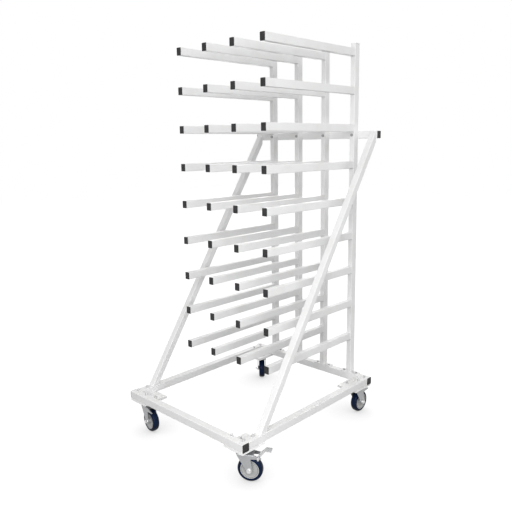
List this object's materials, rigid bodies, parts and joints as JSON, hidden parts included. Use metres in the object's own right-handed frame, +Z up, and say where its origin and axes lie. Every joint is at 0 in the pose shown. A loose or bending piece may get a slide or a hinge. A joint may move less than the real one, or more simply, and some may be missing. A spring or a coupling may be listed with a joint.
{
  "type": "vinyl roll rack",
  "caption": "Wheeled rack for rolls of vinyl: square tube base on swivel casters, rear uprights with rows of straight arms reaching forwards, crossbar behind and a slanting brace each side",
  "frame": {"origin": "on the floor under the middle of the whole outline, brake pedals included", "axes": "+X along the front to the right, +Y from the arm tips to the uprights, +Z up"},
  "size_m": [1.0096, 1.118, 2.1046],
  "materials": {
    "white_coat": "satin powder coat",
    "black_plastic": "matt moulded",
    "zinc_pressing": "zinc plated pressed sheet",
    "bright_fastener": "bright zinc plated",
    "grey_core": "moulded, light grey",
    "blue_tread": "satin elastic tread, navy blue"
  },
  "bodies": {
    "frame": {"base_front_tube": "white_coat", "base_rear_tube": "white_coat", "base_left_tube": "white_coat", "base_right_tube": "white_coat", "base_tube_plugs": "black_plastic", "corner_plates": "white_coat", "upright_1": "white_coat", "upright_2": "white_coat", "upright_3": "white_coat", "upright_4": "white_coat", "upright_foot_plates": "white_coat", "upright_top_caps": "white_coat", "arms_1": "white_coat", "arms_2": "white_coat", "arms_3": "white_coat", "arms_4": "white_coat", "arm_plugs": "black_plastic", "crossbar": "white_coat", "crossbar_plugs": "black_plastic", "left_brace": "white_coat", "right_brace": "white_coat", "brace_end_plates": "white_coat", "upright_foot_bolts": "bright_fastener", "upright_foot_inserts": "bright_fastener", "crossbar_bolts": "bright_fastener", "crossbar_nuts": "bright_fastener", "brace_bolts": "bright_fastener", "caster_bolts": "bright_fastener", "caster_nuts": "bright_fastener", "caster_plate_fr": "zinc_pressing", "caster_plate_fl": "zinc_pressing", "caster_plate_rr": "zinc_pressing", "caster_plate_rl": "zinc_pressing", "caster_balls": "bright_fastener", "kingpins": "bright_fastener"},
    "swivel_fr": {"fork_fr": "zinc_pressing", "axle_fr": "bright_fastener", "axle_nut_fr": "bright_fastener", "brake_pivot_fr": "bright_fastener"},
    "wheel_fr": {"wheel_core_fr": "grey_core", "tyre_fr": "blue_tread"},
    "pedal_fr": {"brake_pedal_fr": "zinc_pressing"},
    "swivel_fl": {"fork_fl": "zinc_pressing", "axle_fl": "bright_fastener", "axle_nut_fl": "bright_fastener"},
    "wheel_fl": {"wheel_core_fl": "grey_core", "tyre_fl": "blue_tread"},
    "swivel_rr": {"fork_rr": "zinc_pressing", "axle_rr": "bright_fastener", "axle_nut_rr": "bright_fastener"},
    "wheel_rr": {"wheel_core_rr": "grey_core", "tyre_rr": "blue_tread"},
    "swivel_rl": {"fork_rl": "zinc_pressing", "axle_rl": "bright_fastener", "axle_nut_rl": "bright_fastener", "brake_pivot_rl": "bright_fastener"},
    "wheel_rl": {"wheel_core_rl": "grey_core", "tyre_rl": "blue_tread"},
    "pedal_rl": {"brake_pedal_rl": "zinc_pressing"}
  },
  "joints": [
    {"name": "swivel_fr_turn", "type": "hinge", "parent": "frame", "child": "swivel_fr", "pos_m": [0.37064, -0.49703, 0.17], "axis": [0, 0, 1], "continuous": true},
    {"name": "wheel_fr_roll", "type": "hinge", "parent": "swivel_fr", "child": "wheel_fr", "pos_m": [0.40365, -0.4782, 0.0625], "axis": [-0.4955, 0.8686, 0], "continuous": true},
    {"name": "brake_fr_press", "type": "hinge", "parent": "swivel_fr", "child": "pedal_fr", "pos_m": [0.44187, -0.4564, 0.131], "axis": [-0.4955, 0.8686, 0], "range_deg": [0, 22]},
    {"name": "swivel_fl_turn", "type": "hinge", "parent": "frame", "child": "swivel_fl", "pos_m": [-0.39136, -0.49703, 0.17], "axis": [0, 0, 1], "continuous": true},
    {"name": "wheel_fl_roll", "type": "hinge", "parent": "swivel_fl", "child": "wheel_fl", "pos_m": [-0.35364, -0.50166, 0.0625], "axis": [0.1219, 0.9925, 0], "continuous": true},
    {"name": "swivel_rr_turn", "type": "hinge", "parent": "frame", "child": "swivel_rr", "pos_m": [0.37064, 0.44197, 0.17], "axis": [0, 0, 1], "continuous": true},
    {"name": "wheel_rr_roll", "type": "hinge", "parent": "swivel_rr", "child": "wheel_rr", "pos_m": [0.37064, 0.47997, 0.0625], "axis": [-1, 0, 0], "continuous": true},
    {"name": "swivel_rl_turn", "type": "hinge", "parent": "frame", "child": "swivel_rl", "pos_m": [-0.39136, 0.44197, 0.17], "axis": [0, 0, 1], "continuous": true},
    {"name": "wheel_rl_roll", "type": "hinge", "parent": "swivel_rl", "child": "wheel_rl", "pos_m": [-0.41766, 0.4694, 0.0625], "axis": [-0.7218, -0.6921, 0], "continuous": true},
    {"name": "brake_rl_press", "type": "hinge", "parent": "swivel_rl", "child": "pedal_rl", "pos_m": [-0.44811, 0.50116, 0.131], "axis": [-0.7218, -0.6921, 0], "range_deg": [0, 22]}
  ]
}
